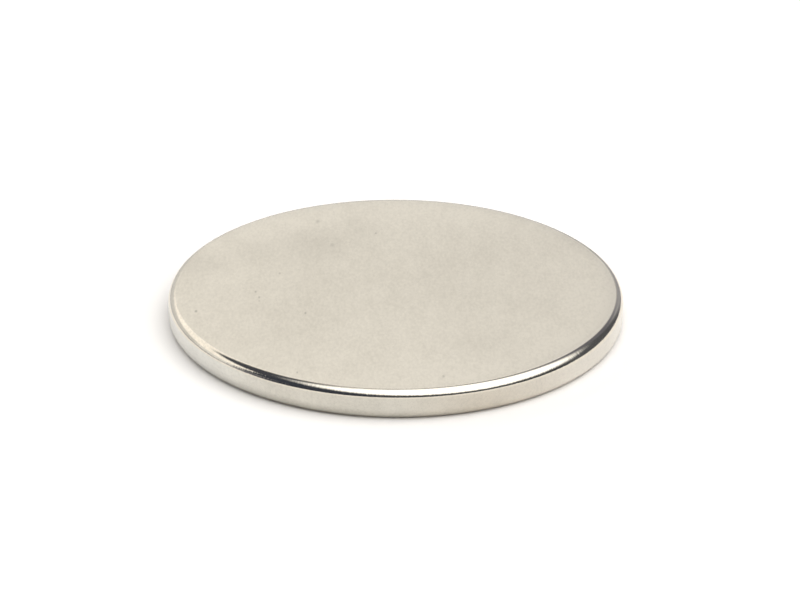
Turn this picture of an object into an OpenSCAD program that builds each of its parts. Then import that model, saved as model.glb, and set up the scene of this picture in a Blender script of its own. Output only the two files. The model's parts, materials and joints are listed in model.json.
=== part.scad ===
// Disc magnet: a thin round disc, flat on both faces, with the edge round each face rounded by tumbling.
// It lies on its bottom face, with the origin at the centre of that face and +Z along its axis.

/* [Disc] */
// Diameter across the rim
disc_d = 15; // [8:0.5:40]
// Thickness from the bottom face to the top face
disc_t = 1; // [0.8:0.1:5]
// Radius of the rounded edge between the rim and each face
edge_r = 0.25; // [0.05:0.05:0.35]

/* [Hidden] */

// Segments in a full turn, round the axis and round the edges
$fn = 240;
// Warm grey of nickel plating
nickel = [0.85, 0.82, 0.76];
// Radius of the rim, and of the flat part of each face
rim_r = disc_d / 2;
flat_r = rim_r - edge_r;
// Height of the straight part of the rim
rim_h = disc_t - 2 * edge_r;

// Half section from the axis out to the rim: the flat faces, the straight rim and two arcs tangent to both
module half_section() {
    square([flat_r, disc_t]);
    translate([0, edge_r]) square([rim_r, rim_h]);
    for (edge_z = [edge_r, edge_r + rim_h])
        translate([flat_r, edge_z]) circle(r = edge_r);
}

// One turn of the half section about the axis
module disc_magnet() {
    color(nickel) rotate_extrude() half_section();
}

disc_magnet();
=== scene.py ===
"""A nickel-plated disc magnet lying flat on a white table, under one large round soft lamp.

The disc is one closed surface of revolution with its edges rounded by tumbling. Its plating is satin over
the ground faces and bright over the rounded edges. Lengths are in metres unless a name or a comment says
otherwise, and angles are in degrees.
"""

import json
import logging
import math
from abc import ABC, abstractmethod
from dataclasses import dataclass
from enum import Enum

import bpy
import numpy as np
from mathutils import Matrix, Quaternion, Vector


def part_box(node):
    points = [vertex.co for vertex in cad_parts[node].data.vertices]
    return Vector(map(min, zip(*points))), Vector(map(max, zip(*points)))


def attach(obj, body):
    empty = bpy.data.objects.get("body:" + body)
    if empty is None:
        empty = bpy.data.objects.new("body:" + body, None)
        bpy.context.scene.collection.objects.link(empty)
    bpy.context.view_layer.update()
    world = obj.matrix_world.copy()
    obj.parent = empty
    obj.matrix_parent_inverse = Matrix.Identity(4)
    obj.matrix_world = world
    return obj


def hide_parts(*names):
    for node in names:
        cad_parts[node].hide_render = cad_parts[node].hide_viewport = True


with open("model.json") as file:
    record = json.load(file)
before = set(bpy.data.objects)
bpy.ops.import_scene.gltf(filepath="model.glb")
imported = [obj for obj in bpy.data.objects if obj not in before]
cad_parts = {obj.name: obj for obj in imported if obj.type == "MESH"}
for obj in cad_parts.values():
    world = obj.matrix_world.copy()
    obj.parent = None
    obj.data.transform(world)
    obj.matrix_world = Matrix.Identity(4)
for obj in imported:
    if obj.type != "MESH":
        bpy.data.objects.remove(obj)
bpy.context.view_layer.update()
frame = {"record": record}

Tree = bpy.types.NodeTree
Socket = bpy.types.NodeSocket
Colour = tuple[float, float, float, float]

LOG = logging.getLogger("disc_magnet")
MM = 0.001
MICROMETRE = 0.001 * MM
QUARTER_TURN = 90.0
NODE = "disc_magnet"
# The disc's own attribute: 0 on the faces, 1 on the rim and the lower edge, and between the two over the
# upper edge.
TILT = "edge_tilt"
PICTURE_W = 800
WHITE = (1.0, 1.0, 1.0, 1.0)
# Every noise pattern swings about this value.
NOISE_MEAN = 0.5
# The inputs of a Mix node go by number, because their names repeat, and so does its output for colours.
FACTOR, FLOAT_A, FLOAT_B, COLOUR_A, COLOUR_B = 0, 2, 3, 6, 7
COLOUR_MIX = {"out": 2, "data_type": "RGBA"}


def linear(hex_colour: str, level: float = 1.0) -> Colour:
    """Turns an sRGB hex colour into a linear one.

    Args:
        hex_colour: six hex digits, red first.
        level: how bright the colour is made, as a multiple of itself.

    Returns:
        Red, green and blue, and an alpha of 1.
    """
    srgb = np.array([int(hex_colour[i:i + 2], 16) for i in (0, 2, 4)]) / 255
    rgb = np.where(srgb <= 0.04045, srgb / 12.92, ((srgb + 0.055) / 1.055) ** 2.4) * level
    return (*rgb.tolist(), 1.0)


def add_node(tree: Tree, kind: str, inputs: dict | None = None, out: int | str = 0,
             **settings: object) -> Socket:
    """Adds one node with its settings, values and links.

    Args:
        tree: the node tree that gets the node.
        kind: Blender's name for the kind of node, without the ShaderNode that it starts with.
        inputs: input name or number to a value, or to an output socket that is linked to it.
        out: name or number of the output that is wanted.
        settings: the node's own properties.

    Returns:
        That output of the new node.
    """
    node = tree.nodes.new("ShaderNode" + kind)
    for name, value in settings.items():
        setattr(node, name, value)
    for key, value in (inputs or {}).items():
        if isinstance(value, Socket):
            tree.links.new(value, node.inputs[key])
        else:
            node.inputs[key].default_value = value
    return node.outputs[out]


def new_material(name: str) -> tuple[bpy.types.Material, Tree, Socket]:
    """Makes an empty node material.

    Args:
        name: the material's name.

    Returns:
        The material, its node tree and the input that takes its shader.
    """
    material = bpy.data.materials.new(name)
    material.use_nodes = True
    tree = material.node_tree
    tree.nodes.clear()
    return material, tree, tree.nodes.new("ShaderNodeOutputMaterial").inputs["Surface"]


def add_mesh(name: str, points: np.ndarray, faces: list[list[int]], material: bpy.types.Material,
             tilt: np.ndarray | None = None) -> bpy.types.Object:
    """Puts a surface into the scene as one smooth object at the origin.

    Args:
        name: the object's name.
        points: one row of x, y and z for each vertex.
        faces: vertex numbers of each face, counter-clockwise from outside.
        material: the finish of the whole surface.
        tilt: for each vertex, how far the surface is tilted, from 0 on a face to 1 on the rim.

    Returns:
        The new object.
    """
    mesh = bpy.data.meshes.new(name)
    mesh.from_pydata(points.tolist(), [], faces)
    if tilt is not None:
        mesh.attributes.new(TILT, "FLOAT", "POINT").data.foreach_set("value", tilt)
    mesh.polygons.foreach_set("use_smooth", np.ones(len(mesh.polygons), dtype=bool))
    mesh.materials.append(material)
    mesh.update()
    piece = bpy.data.objects.new(name, mesh)
    bpy.context.scene.collection.objects.link(piece)
    return piece


def toward(azimuth: float, elevation: float = 0.0) -> Vector:
    """Gives the unit vector to a place in the studio, with azimuth 0 at the camera and 90 at the right."""
    turn, rise = math.radians(azimuth), math.radians(elevation)
    return Vector((math.sin(turn) * math.cos(rise), -math.cos(turn) * math.cos(rise), math.sin(rise)))


class Spread(Enum):
    """What a pattern of the plating is drawn out along."""

    GRINDING = "the grinding of the faces"
    RIM = "the way over the edge and down the rim"


@dataclass(frozen=True)
class Pattern:
    """A noise pattern: the size of its lumps in mm, how many finer layers it has, and how it is spread."""

    size_mm: float
    detail: float
    spread: Spread


@dataclass(frozen=True)
class Mark:
    """A small flaw of the top face: its place and radius in mm, and how far it darkens, from 0 to 1."""

    x: float
    y: float
    radius: float
    dark: float

    def spot(self, tree: Tree, spread: Socket, scale: Vector, top: float) -> Socket:
        """Draws the mark as a soft spot, darkest in the middle and gone at its radius.

        Args:
            tree: the material's node tree.
            spread: the coordinates in which the spot is round.
            scale: those coordinates as a multiple of the disc's own.
            top: height of the top face.

        Returns:
            How far the mark darkens each place.
        """
        centre = Vector((self.x * MM, self.y * MM, top)) * scale
        gap = add_node(tree, "VectorMath", {0: spread, 1: centre}, "Value", operation="DISTANCE")
        return add_node(tree, "MapRange", {
            "Value": gap, "From Min": self.radius * MM, "From Max": 0.0, "To Max": self.dark},
            interpolation_type="SMOOTHSTEP")


@dataclass(frozen=True)
class PaintedRimTint:
    """Painted shade and reflection round the rim: a tint at one side of the disc, which stands in for the
    darker or warmer surroundings that the rim mirrors there.

    It lies at one side of the disc, starts and is full at two angles from that side, and tints the colour.
    """

    azimuth: float
    starts: float
    full: float
    tint: str

    def lay(self, tree: Tree, outward: Socket, colour: Socket) -> Socket:
        """Lays the painted tint over the rim's colour.

        Args:
            tree: the material's node tree.
            outward: the direction from the axis to the rim.
            colour: the rim's colour so far.

        Returns:
            The rim's colour with this tone.
        """
        facing = add_node(tree, "VectorMath", {0: outward, 1: toward(self.azimuth)}, "Value",
                          operation="DOT_PRODUCT")
        cover = add_node(tree, "MapRange", {
            "Value": facing, "From Min": math.cos(math.radians(self.starts)),
            "From Max": math.cos(math.radians(self.full))})
        return add_node(tree, "Mix", {FACTOR: cover, COLOUR_A: colour, COLOUR_B: linear(self.tint)},
                        blend_type="MULTIPLY", **COLOUR_MIX)


@dataclass(frozen=True)
class Layout:
    """What the plating's colour, sheen and relief are laid out by.

    These are the place on the disc, the same drawn out along the grinding, the direction and the distance
    from the axis, the tilt, the masks of the edges and of the rim, and the noise patterns by name.
    """

    place: Socket
    ground: Socket
    outward: Socket
    radius: Socket
    tilt: Socket
    edge: Socket
    rim: Socket
    noise: dict[str, Socket]


@dataclass(frozen=True)
class NickelPlating:
    """Bright nickel plated over a sintered alloy that was ground on its faces and tumbled round its edges.

    The eye gets a warm grey metal: an even satin sheen with a fine grain and a few pits on the faces, and
    crisp dark and white lines, a little ragged, on the rounded edges and the rim.
    """

    bright: str = "E3DCCE"
    dull: str = "D0C9BB"
    pitted: str = "5C5548"
    rim_bright: str = "DFDED8"
    rim_dull: str = "CCCBC5"
    # Painted shade and reflection on the rim: it is coloured duller at the front, warmer over its right
    # half, and a little duller at the far right, after the floor and room that it mirrors there.
    painted_rim_tints: tuple[PaintedRimTint, ...] = (
        PaintedRimTint(-2, 52, 25, "ECE9E4"), PaintedRimTint(90, 90, 70, "FFFBF7"), PaintedRimTint(90, 45, 20, "F6F6F6"))
    # How far the summed patterns swing between the dull colour and the bright one.
    shade_range: float = 1.0
    face_roughness: float = 0.30
    edge_roughness: float = 0.11
    rim_roughness: float = 0.17
    roughness_swing: float = 0.06
    # The satin of the faces ends, and that of the rim starts, at these tilts of the edge.
    satin_end: float = 4.0
    rim_start: float = 75.0
    cloud: Pattern = Pattern(4.5, 2, Spread.GRINDING)
    mottle: Pattern = Pattern(0.7, 3, Spread.GRINDING)
    # The alloy's grain under the plating is about a tenth of this size, and is drawn coarser to show.
    grain: Pattern = Pattern(0.08, 2, Spread.GRINDING)
    grain_share: float = 1.35
    # The faces were ground along Y, so their patterns are this much longer along Y than across it.
    ground_stretch: float = 2.2
    # Tumbling leaves a fine ripple on the edges, and faint lines that run down the rim.
    ripple: Pattern = Pattern(0.08, 1, Spread.RIM)
    streak: Pattern = Pattern(0.8, 4, Spread.RIM)
    streak_share: float = 0.5
    # The ripple and the lines are this much longer across the edge than along it.
    ripple_stretch: float = 2.5
    # A painted sheen: each face is coloured brighter towards its rim, from this share of its radius on,
    # standing in for the room's light that the face mirrors there.
    painted_rim_sheen: float = 0.2
    painted_rim_sheen_from: float = 0.55
    # Heights are in micrometres, and the ripple's grow with a power of the tilt.
    grain_height: float = 0.6
    ripple_height: float = 12.0
    rim_ripple_height: float = 1.5
    ripple_power: float = 2.0
    pit_depth: float = 4.0
    pits: tuple[Mark, ...] = (
        Mark(-6.49, -1.80, 0.07, 0.5), Mark(-4.61, -0.30, 0.06, 0.38), Mark(-4.48, -0.72, 0.05, 0.35),
        Mark(-4.47, -1.00, 0.04, 0.3), Mark(-2.93, -1.90, 0.06, 0.45), Mark(-3.87, 1.13, 0.06, 0.3),
        Mark(-2.70, 5.38, 0.12, 0.25), Mark(-2.17, 3.43, 0.14, 0.25), Mark(-0.69, 4.41, 0.06, 0.35),
        Mark(-3.07, -6.18, 0.05, 0.35), Mark(1.50, -6.41, 0.07, 0.3))
    smudges: tuple[Mark, ...] = (
        Mark(-3.0, 3.5, 2.2, 0.11), Mark(-4.6, 3.0, 1.8, 0.09), Mark(-1.6, 4.2, 1.8, 0.04),
        Mark(-6.6, 1.8, 1.7, 0.11), Mark(2.9, -4.2, 1.6, 0.05), Mark(6.4, 4.0, 2.2, 0.04))

    @property
    def grinding(self) -> Vector:
        """Gives the coordinates drawn out along the grinding as a multiple of the disc's own."""
        return Vector((1, 1 / self.ground_stretch, 1))

    def layout(self, tree: Tree, rim_r: float) -> Layout:
        """Adds the coordinates, the masks and the noise patterns.

        The patterns of the faces are drawn out along the grinding. Those of the edges and the rim are
        wrapped round the rim's circle, so that they run over the edge and down the rim in short lines.

        Args:
            tree: the material's node tree.
            rim_r: radius of the rim.

        Returns:
            What the rest of the material is laid out by.
        """
        place = add_node(tree, "TexCoord", out="Object")
        ground = add_node(tree, "VectorMath", {0: place, 1: self.grinding}, operation="MULTIPLY")
        across = add_node(tree, "VectorMath", {0: place, 1: (1, 1, 0)}, operation="MULTIPLY")
        radius = add_node(tree, "VectorMath", {0: across}, "Value", operation="LENGTH")
        outward = add_node(tree, "VectorMath", {0: across}, operation="NORMALIZE")
        on_rim = add_node(tree, "VectorMath", {0: outward, "Scale": rim_r}, operation="SCALE")
        shrunk = (1 / self.ripple_stretch,) * 3
        wrapped = add_node(tree, "VectorMath", {0: place, 1: shrunk, 2: on_rim}, operation="MULTIPLY_ADD")
        tilt = add_node(tree, "Attribute", out="Fac", attribute_name=TILT)
        edge = add_node(tree, "MapRange", {"Value": tilt, "From Max": self.satin_end / QUARTER_TURN})
        rim = add_node(tree, "MapRange", {"Value": tilt, "From Min": self.rim_start / QUARTER_TURN})
        spreads = {Spread.GRINDING: ground, Spread.RIM: wrapped}
        patterns = {"cloud": self.cloud, "mottle": self.mottle, "grain": self.grain,
                    "ripple": self.ripple, "streak": self.streak}
        noise = {name: add_node(tree, "TexNoise", {
            "Vector": spreads[pattern.spread], "Scale": 1 / (pattern.size_mm * MM),
            "Detail": pattern.detail})
            for name, pattern in patterns.items()}
        return Layout(place, ground, outward, radius, tilt, edge, rim, noise)

    def shade(self, tree: Tree, layout: Layout, rim_r: float) -> Socket:
        """Adds up the patterns, the painted sheen towards the faces' rim and the lines that run down the
        rim.

        Args:
            tree: the material's node tree.
            layout: what the material is laid out by.
            rim_r: radius of the rim.

        Returns:
            A shade from 0 where the plating is dull to 1 where it is bright.
        """
        noise = layout.noise
        total = add_node(tree, "Math", {0: noise["cloud"], 1: noise["mottle"]}, operation="ADD")
        total = add_node(tree, "Math", {0: noise["grain"], 1: self.grain_share, 2: total},
                         operation="MULTIPLY_ADD")
        # Painted sheen: the faces are coloured brighter towards their rim.
        painted_rim_sheen = add_node(tree, "MapRange", {
            "Value": layout.radius, "From Min": rim_r * self.painted_rim_sheen_from, "From Max": rim_r,
            "To Max": self.painted_rim_sheen}, interpolation_type="SMOOTHSTEP")
        total = add_node(tree, "Math", {0: total, 1: painted_rim_sheen}, operation="ADD")
        lines = add_node(tree, "Math", {0: noise["streak"], 1: NOISE_MEAN}, operation="SUBTRACT")
        share = add_node(tree, "Math", {0: layout.rim, 1: self.streak_share}, operation="MULTIPLY")
        total = add_node(tree, "Math", {0: lines, 1: share, 2: total}, operation="MULTIPLY_ADD")
        middle = NOISE_MEAN * (2 + self.grain_share)
        swing = self.shade_range / 2
        return add_node(tree, "MapRange", {
            "Value": total, "From Min": middle - swing, "From Max": middle + swing})

    def flaws(self, tree: Tree, layout: Layout, top: float) -> Socket:
        """Draws the pits, which are drawn out along the grinding, and the smudges.

        Args:
            tree: the material's node tree.
            layout: what the material is laid out by.
            top: height of the top face.

        Returns:
            How far they darken each place.
        """
        spots = [pit.spot(tree, layout.ground, self.grinding, top) for pit in self.pits]
        spots += [smudge.spot(tree, layout.place, Vector((1, 1, 1)), top) for smudge in self.smudges]
        darkest = spots[0]
        for spot in spots[1:]:
            darkest = add_node(tree, "Math", {0: darkest, 1: spot}, operation="MAXIMUM")
        return darkest

    def colour(self, tree: Tree, layout: Layout, shade: Socket, flaws: Socket) -> Socket:
        """Colours the faces with their flaws, and the rim with its painted shade and reflection tints.

        Args:
            tree: the material's node tree.
            layout: what the material is laid out by.
            shade: the plating's shade, from dull to bright.
            flaws: how far the flaws darken each place.

        Returns:
            The plating's colour.
        """
        face, rim = [add_node(tree, "Mix", {FACTOR: shade, COLOUR_A: linear(dull), COLOUR_B: linear(bright)},
                              **COLOUR_MIX)
                     for dull, bright in ((self.dull, self.bright), (self.rim_dull, self.rim_bright))]
        face = add_node(tree, "Mix", {FACTOR: flaws, COLOUR_A: face, COLOUR_B: linear(self.pitted)},
                        **COLOUR_MIX)
        # Painted shade and reflection: the rim's tints by side.
        for painted_tint in self.painted_rim_tints:
            rim = painted_tint.lay(tree, layout.outward, rim)
        return add_node(tree, "Mix", {FACTOR: layout.rim, COLOUR_A: face, COLOUR_B: rim}, **COLOUR_MIX)

    def roughness(self, tree: Tree, layout: Layout) -> Socket:
        """Makes the faces satin, the edges bright and the rim between the two, each mottled a little.

        Args:
            tree: the material's node tree.
            layout: what the material is laid out by.

        Returns:
            The plating's roughness.
        """
        face, edge, rim = [middle - self.roughness_swing * NOISE_MEAN for middle in (
            self.face_roughness, self.edge_roughness, self.rim_roughness)]
        least = add_node(tree, "MapRange", {"Value": layout.edge, "To Min": face, "To Max": edge})
        least = add_node(tree, "Mix", {FACTOR: layout.rim, FLOAT_A: least, FLOAT_B: rim}, data_type="FLOAT")
        return add_node(tree, "Math", {0: layout.noise["mottle"], 1: self.roughness_swing, 2: least},
                        operation="MULTIPLY_ADD")

    def relief(self, tree: Tree, layout: Layout, flaws: Socket) -> Socket:
        """Raises the grain on the faces and the ripple on the edges and the rim, and sinks the flaws.

        Args:
            tree: the material's node tree.
            layout: what the material is laid out by.
            flaws: how far the flaws darken each place.

        Returns:
            The normal of the plating's surface.
        """
        noise = layout.noise
        satin = add_node(tree, "Math", {0: noise["grain"], 1: self.grain_height}, operation="MULTIPLY")
        reach = add_node(tree, "MapRange", {
            "Value": layout.rim, "To Min": self.ripple_height, "To Max": self.rim_ripple_height})
        growth = add_node(tree, "Math", {0: layout.tilt, 1: self.ripple_power}, operation="POWER")
        reach = add_node(tree, "Math", {0: reach, 1: growth}, operation="MULTIPLY")
        ragged = add_node(tree, "Math", {0: noise["ripple"], 1: reach}, operation="MULTIPLY")
        height = add_node(tree, "Mix", {FACTOR: layout.edge, FLOAT_A: satin, FLOAT_B: ragged},
                          data_type="FLOAT")
        height = add_node(tree, "Math", {0: flaws, 1: -self.pit_depth, 2: height}, operation="MULTIPLY_ADD")
        return add_node(tree, "Bump", {"Height": height, "Distance": MICROMETRE})

    def material(self, rim_r: float, top: float) -> bpy.types.Material:
        """Builds the plating's material.

        Args:
            rim_r: radius of the rim.
            top: height of the top face.

        Returns:
            The material, which reads Object coordinates and the mesh's own tilt.
        """
        material, tree, surface = new_material("bright_nickel_plating")
        layout = self.layout(tree, rim_r)
        flaws = self.flaws(tree, layout, top)
        shade = self.shade(tree, layout, rim_r)
        shader = add_node(tree, "BsdfPrincipled", {
            "Base Color": self.colour(tree, layout, shade, flaws), "Metallic": 1.0,
            "Roughness": self.roughness(tree, layout), "Normal": self.relief(tree, layout, flaws)})
        tree.links.new(shader, surface)
        return material


@dataclass(frozen=True)
class TablePaper:
    """Matt white paper: it takes the disc's soft shadow and shows nothing else.

    It looks a little lighter than it lights, to the eye and in the metal.
    """

    colour: str = "FAF7F3"
    shown: float = 1.15
    shown_to: tuple[str, ...] = ("Is Camera Ray", "Is Glossy Ray", "Is Transmission Ray")

    def material(self) -> bpy.types.Material:
        """Builds the paper's material.

        Returns:
            The material, whose colour depends on the kind of ray that meets it.
        """
        material, tree, surface = new_material("white_paper")
        rays = [add_node(tree, "LightPath", out=kind) for kind in self.shown_to]
        seen = rays[0]
        for ray in rays[1:]:
            seen = add_node(tree, "Math", {0: seen, 1: ray}, operation="MAXIMUM")
        lifted = linear(self.colour, self.shown)
        colour = add_node(tree, "Mix", {FACTOR: seen, COLOUR_A: linear(self.colour), COLOUR_B: lifted},
                          **COLOUR_MIX)
        tree.links.new(add_node(tree, "BsdfDiffuse", {"Color": colour}), surface)
        return material


@dataclass(frozen=True)
class WornEdge:
    """The wear that tumbling leaves on one edge, most at one side of the disc.

    At that side the edge is wider and taller than a plain round by these shares, and the wear falls off
    round the disc as a power of a cosine. The side is an angle from the right towards the back.
    """

    side: float
    wider: float
    taller: float
    power: int

    def size(self, edge_r: float, turn: np.ndarray) -> tuple[np.ndarray, np.ndarray]:
        """Works out the edge's size at each turn angle.

        Args:
            edge_r: radius of the plain round.
            turn: the turn angles in radians.

        Returns:
            The edge's width and height.
        """
        worn = ((1 + np.cos(turn - math.radians(self.side))) / 2) ** self.power
        return edge_r * (1 + self.wider * worn), edge_r * (1 + self.taller * worn)


@dataclass
class DiscMagnet:
    """The plated disc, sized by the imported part: one turn of a profile about the Z axis."""

    rim_r: float
    thickness: float
    edge_r: float
    finish: NickelPlating
    top_edge: WornEdge = WornEdge(318, 0.18, 0.18, 12)
    bottom_edge: WornEdge = WornEdge(235, 0.12, 0.54, 3)
    # Tumbling also takes a little off the rim of each face.
    roll_off: float = 0.010 * MM
    roll_width: float = 0.45 * MM
    turn_steps: int = 720
    edge_steps: int = 24
    rim_steps: int = 6
    face_steps: int = 20

    @classmethod
    def from_frame(cls, record: dict) -> "DiscMagnet":
        """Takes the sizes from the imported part.

        Args:
            record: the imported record, whose rim mount gives the rim's radius and straight height.

        Returns:
            The disc at its real size.
        """
        low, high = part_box(NODE)
        rim = next(mount for mount in record["mounts"] if mount["name"] == "rim")
        thickness = high.z - low.z
        edge_r = (thickness - rim["dims"]["length_mm"] * MM) / 2
        return cls(rim["dims"]["r_mm"] * MM, thickness, edge_r, NickelPlating())

    def half_section(self, turn: np.ndarray, edge: WornEdge) -> tuple[np.ndarray, np.ndarray]:
        """Works out one face and its edge at each turn angle, from near the axis to the rim.

        The face is a row of radii that lie closer together towards its edge, and falls away with the square
        of the distance into its outer band. The edge is a quarter ellipse.

        Args:
            turn: the turn angles in radians.
            edge: the wear of this edge.

        Returns:
            The radius and the distance from the face of each point, one row for each ring.
        """
        width, height = edge.size(self.edge_r, turn)
        share = np.linspace(0, 1, self.face_steps + 1)[1:, None]
        tilt = np.linspace(0, np.pi / 2, self.edge_steps + 1)[1:, None]
        face_r = (self.rim_r - width) * np.sin(share * np.pi / 2)
        fall = np.clip((face_r - face_r[-1] + self.roll_width) / self.roll_width, 0, 1) ** 2 * self.roll_off
        radii = np.concatenate([face_r, face_r[-1] + width * np.sin(tilt)])
        return radii, np.concatenate([fall, self.roll_off + height * (1 - np.cos(tilt))])

    def rings(self) -> np.ndarray:
        """Turns the section about the axis: x = r cos t, y = r sin t, z = h.

        The rings run from the bottom face over the lower edge, straight up the rim, and over the upper edge
        to the top face.

        Returns:
            The points by ring, by turn angle, and by x, y and z.
        """
        turn = np.linspace(0, 2 * np.pi, self.turn_steps, endpoint=False)
        low_r, low_h = self.half_section(turn, self.bottom_edge)
        high_r, high_h = self.half_section(turn, self.top_edge)
        high_h = self.thickness - high_h
        climb = np.linspace(0, 1, self.rim_steps + 1)[1:-1, None]
        rim_h = low_h[-1] * (1 - climb) + high_h[-1] * climb
        radii = np.concatenate([low_r, np.full_like(rim_h, self.rim_r), high_r[::-1]])
        heights = np.concatenate([low_h, rim_h, high_h[::-1]])
        return np.stack([radii * np.cos(turn), radii * np.sin(turn), heights], axis=-1)

    def faces(self, rings: int) -> list[list[int]]:
        """Joins each ring to the next with squares, and the end rings to their poles with triangles.

        The vertices of the rings come first, then the bottom pole and then the top pole.

        Args:
            rings: how many rings there are.

        Returns:
            Vertex numbers of each face, which close the seam and both poles.
        """
        here = np.arange(self.turn_steps)
        beside = np.roll(here, -1)
        start = np.arange(rings - 1)[:, None] * self.turn_steps
        above = start + self.turn_steps
        quads = np.stack([start + here, start + beside, above + beside, above + here], axis=-1)
        last = (rings - 1) * self.turn_steps
        bottom = rings * self.turn_steps
        under = np.stack([np.full_like(here, bottom), beside, here], axis=-1)
        over = np.stack([np.full_like(here, bottom + 1), last + here, last + beside], axis=-1)
        return quads.reshape(-1, 4).tolist() + under.tolist() + over.tolist()

    def tilts(self) -> np.ndarray:
        """Gives each vertex its tilt.

        It is 0 on the faces and 1 over the lower edge and the rim, which share one finish, and falls evenly
        with the angle over the upper edge.

        Returns:
            The tilts in the order of the rings, and then of the two poles.
        """
        flat = np.zeros(self.face_steps)
        steep = np.ones(self.edge_steps + self.rim_steps - 1)
        rounded = np.linspace(1, 0, self.edge_steps, endpoint=False)
        by_ring = np.concatenate([flat, steep, rounded, flat])
        return np.append(np.repeat(by_ring, self.turn_steps), [0, 0])

    def build(self) -> bpy.types.Object:
        """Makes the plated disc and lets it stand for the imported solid.

        Returns:
            The disc's object.
        """
        rings = self.rings()
        poles = np.array([[0, 0, 0], [0, 0, self.thickness]])
        points = np.concatenate([rings.reshape(-1, 3), poles])
        finish = self.finish.material(self.rim_r, self.thickness)
        piece = add_mesh("plated_disc", points, self.faces(len(rings)), finish, self.tilts())
        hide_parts(NODE)
        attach(piece, "root")
        return piece


class RoomPart(ABC):
    """A part of the room round the disc, of one colour, which the metal mirrors."""

    colour: str
    level: float

    @abstractmethod
    def cover(self, tree: Tree, ray: Socket) -> Socket:
        """Works out how far the part fills each direction.

        Args:
            tree: the world's node tree.
            ray: the direction that is looked in.

        Returns:
            The cover, from 0 off the part to 1 on it.
        """

    def paint(self, tree: Tree, ray: Socket, light: Socket) -> Socket:
        """Lays the part over what the room shows so far.

        Args:
            tree: the world's node tree.
            ray: the direction that is looked in.
            light: the colour that the room shows so far.

        Returns:
            The colour that the room shows with this part.
        """
        shade = linear(self.colour, self.level)
        return add_node(tree, "Mix", {FACTOR: self.cover(tree, ray), COLOUR_A: light, COLOUR_B: shade},
                        **COLOUR_MIX)


@dataclass(frozen=True)
class Panel(RoomPart):
    """A soft-edged part of the room, such as a dark wall or a lit card.

    Its middle is at an azimuth, and its lower and upper edges are elevations above the table.
    """

    azimuth: float
    half_width: float
    low: float
    high: float
    colour: str
    level: float = 1.0
    soft: float = 4.0

    def cover(self, tree: Tree, ray: Socket) -> Socket:
        """Works out how far the panel fills each direction, as RoomPart says.

        Args:
            tree: the world's node tree.
            ray: the direction that is looked in.

        Returns:
            The product of three soft steps: across the panel, over its lower edge and under its upper edge.
        """
        aside, ahead = [add_node(tree, "VectorMath", {0: ray, 1: toward(azimuth)}, "Value",
                                 operation="DOT_PRODUCT")
                        for azimuth in (self.azimuth + QUARTER_TURN, self.azimuth)]
        turn = add_node(tree, "Math", {0: aside, 1: ahead}, operation="ARCTAN2")
        off = add_node(tree, "Math", {0: turn}, operation="ABSOLUTE")
        up = add_node(tree, "SeparateXYZ", {0: ray}, "Z")
        rise = add_node(tree, "Math", {0: up}, operation="ARCSINE")
        # Each limit has the sign of the way that leads onto the panel.
        limits = ((off, self.half_width, -1), (rise, self.low, 1), (rise, self.high, -1))
        steps = [add_node(tree, "MapRange", {
            "Value": angle, "From Min": math.radians(limit - inward * self.soft),
            "From Max": math.radians(limit + inward * self.soft)}, interpolation_type="SMOOTHSTEP")
            for angle, limit, inward in limits]
        product = steps[0]
        for step in steps[1:]:
            product = add_node(tree, "Math", {0: product, 1: step}, operation="MULTIPLY")
        return product


@dataclass(frozen=True)
class RoundLamp(RoomPart):
    """A big round lamp behind a diffuser, at a place in the room, sized by the angle that it fills."""

    azimuth: float
    elevation: float
    radius: float
    colour: str
    level: float
    soft: float

    def cover(self, tree: Tree, ray: Socket) -> Socket:
        """Works out how far the lamp fills each direction, as RoomPart says.

        Args:
            tree: the world's node tree.
            ray: the direction that is looked in.

        Returns:
            One soft step of the angle from the lamp's middle.
        """
        middle = toward(self.azimuth, self.elevation)
        near = add_node(tree, "VectorMath", {0: ray, 1: middle}, "Value", operation="DOT_PRODUCT")
        off = add_node(tree, "Math", {0: near}, operation="ARCCOSINE")
        return add_node(tree, "MapRange", {
            "Value": off, "From Min": math.radians(self.radius + self.soft),
            "From Max": math.radians(self.radius - self.soft)}, interpolation_type="SMOOTHSTEP")


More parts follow.
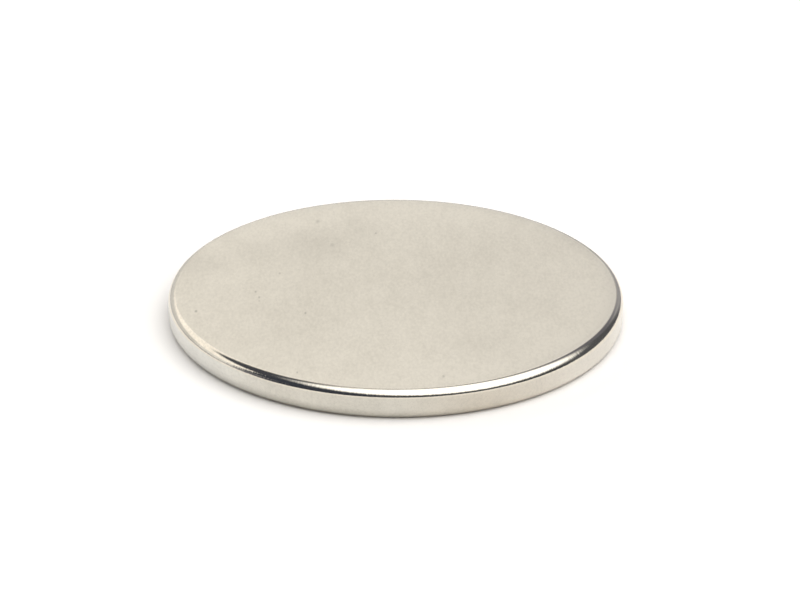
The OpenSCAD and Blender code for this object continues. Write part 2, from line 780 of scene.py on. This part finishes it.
@dataclass(frozen=True)
class Studio:
    """A white table in a pale room with a dark front, and one round lamp over the front right.

    The room is painted in order, so a later part covers an earlier one.
    """

    paper: TablePaper = TablePaper()
    table_half: float = 0.7
    room: tuple[RoomPart, ...] = (
        # The back: a dim low wall, and over it the lit card that the top face mirrors, brightest at its top.
        Panel(180, 60, -5, 14, "9A9FAD", soft=3),
        Panel(180, 45, 18, 38, "FFFEFB", 1.09, soft=5),
        Panel(180, 30, 30, 38, "FFFEFB", 1.40, soft=4),
        # The front: dark on both sides, with a greyer place low at the left.
        Panel(-45, 39, -5, 95, "3E434F", soft=3),
        Panel(-72, 9, 4, 26, "7C7E86", soft=5),
        Panel(45, 52, -5, 95, "4B4D52", soft=3),
        # The right: a dark wall that turns grey towards the back, and is darker there high up.
        Panel(122, 27, -5, 95, "585A60", soft=5),
        Panel(158, 13, -5, 60, "A6A6AC", soft=9),
        Panel(153, 13, 26, 60, "70707A", soft=5),
        # The left: dark above a lit card, with a pale wall and a grey foot below it.
        Panel(-125, 43, 43, 95, "4B4E58", soft=2),
        Panel(-129.5, 41.5, 24, 43, "FFFCF7", 1.36, soft=2.5),
        Panel(-144, 30, 3, 23, "E4E4E4", soft=4),
        Panel(-98, 24, -5, 6, "9A9EA8", soft=3),
        # A grey strip over the card at the back, and the lamp.
        Panel(180, 17, 38.5, 50, "A0A0A0", soft=2),
        RoundLamp(58, 68, 43, "FFFFFF", 1.9, soft=9),
    )

    def build(self) -> bpy.types.Object:
        """Builds the table and the room.

        Returns:
            The table's object.
        """
        half = self.table_half
        corners = np.array([[-half, -half, 0], [half, -half, 0], [half, half, 0], [-half, half, 0]])
        table = add_mesh("table", corners, [[0, 1, 2, 3]], self.paper.material())
        self.paint_room()
        return table

    def paint_room(self) -> None:
        """Paints the room as the world.

        It is white, then each part is laid over it, and the camera itself sees plain white.
        """
        world = bpy.data.worlds.new("pale_room")
        world.use_nodes = True
        tree = world.node_tree
        ray = add_node(tree, "TexCoord", out="Generated")
        light = add_node(tree, "RGB")
        light.default_value = WHITE
        for part in self.room:
            light = part.paint(tree, ray, light)
        seen = add_node(tree, "LightPath", out="Is Camera Ray")
        light = add_node(tree, "Mix", {FACTOR: seen, COLOUR_A: light, COLOUR_B: WHITE}, **COLOUR_MIX)
        tree.links.new(light, tree.nodes["Background"].inputs["Color"])
        bpy.context.scene.world = world


@dataclass(frozen=True)
class PhotoCamera:
    """The camera, placed by the disc's outline in the picture."""

    elevation: float = 25.77
    distance: float = 105 * MM
    roll: float = 0.236
    aim_right: float = 0.142 * MM
    aim_up: float = 0.517 * MM
    # The rim's radius in the picture, over its real radius.
    pixels_per_mm: float = 226.29 / 7.5
    sensor_mm: float = 36.0
    nearest: float = 1 * MM
    farthest: float = 5.0

    def build(self) -> bpy.types.Object:
        """Makes the camera and sets it as the scene's.

        Returns:
            The camera's object.
        """
        lens = bpy.data.cameras.new("camera")
        lens.sensor_width = self.sensor_mm
        lens.lens = self.pixels_per_mm / MM * self.distance * self.sensor_mm / PICTURE_W
        lens.clip_start = self.nearest
        lens.clip_end = self.farthest
        holder = bpy.data.objects.new("camera", lens)
        bpy.context.scene.collection.objects.link(holder)
        back = toward(0, self.elevation)
        right = Vector((1, 0, 0))
        aim = right * self.aim_right + back.cross(right) * self.aim_up
        holder.location = back * self.distance
        facing = (aim - holder.location).to_track_quat("-Z", "Y")
        holder.rotation_mode = "QUATERNION"
        holder.rotation_quaternion = facing @ Quaternion((0, 0, 1), math.radians(self.roll))
        bpy.context.scene.camera = holder
        return holder


def main() -> None:
    """Builds the camera, the studio and the disc."""
    logging.basicConfig(level=logging.INFO, format="%(message)s")
    bpy.context.scene.view_settings.view_transform = "Standard"
    camera = PhotoCamera().build()
    LOG.info("%s: a lens of %.0f mm", camera.name, camera.data.lens)
    table = Studio().build()
    disc = DiscMagnet.from_frame(frame["record"]).build()
    for piece in (table, disc):
        LOG.info("%s: %d faces", piece.name, len(piece.data.polygons))


if __name__ == "__main__":
    main()
